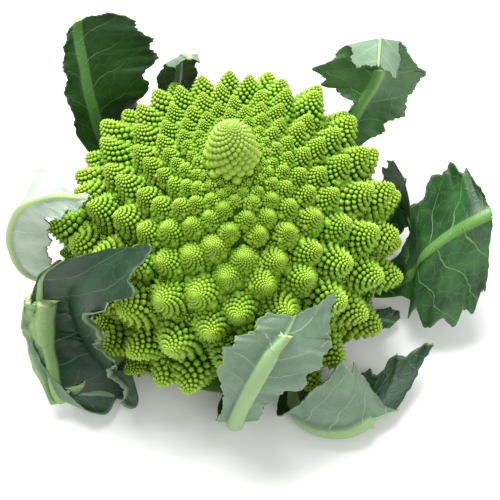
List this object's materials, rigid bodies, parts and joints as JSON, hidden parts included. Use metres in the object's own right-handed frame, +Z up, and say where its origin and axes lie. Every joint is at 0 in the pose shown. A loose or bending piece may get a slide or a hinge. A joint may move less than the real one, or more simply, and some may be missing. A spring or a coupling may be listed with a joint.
{
  "type": "romanesco",
  "caption": "A romanesco: one pointed head of spiral florets, standing on its cut stalk in a ring of trimmed, torn outer leaves.",
  "frame": {"origin": "middle of the stalk's cut face, which the romanesco stands on", "axes": "+Z up from the cut face to the tip of the head, -Y towards the front of the picture, +X to its right"},
  "size_m": [0.2534, 0.1974, 0.156],
  "materials": {
    "head": "satin, finely beaded",
    "stem": "matt, moist cut face",
    "leaf_back_left": "satin leaf with pale veins and a thick pale rib",
    "leaf_back": "satin leaf with pale veins and a thick pale rib",
    "leaf_back_right": "satin leaf with pale veins and a thick pale rib",
    "leaf_right": "satin leaf with pale veins and a thick pale rib",
    "leaf_right_inner": "satin leaf with pale veins and a thick pale rib",
    "leaf_right_lower": "satin leaf with pale veins and a thick pale rib",
    "leaf_front_right": "satin leaf with pale veins and a thick pale rib",
    "leaf_front": "satin leaf with pale veins and a thick pale rib",
    "leaf_front_left": "satin leaf with pale veins and a thick pale rib",
    "leaf_left": "satin leaf with pale veins and a thick pale rib"
  },
  "bodies": {
    "root": {"head": "head", "stem": "stem", "leaf_back_left": "leaf_back_left", "leaf_back": "leaf_back", "leaf_back_right": "leaf_back_right", "leaf_right": "leaf_right", "leaf_right_inner": "leaf_right_inner", "leaf_right_lower": "leaf_right_lower", "leaf_front_right": "leaf_front_right", "leaf_front": "leaf_front", "leaf_front_left": "leaf_front_left", "leaf_left": "leaf_left"}
  },
  "joints": []
}
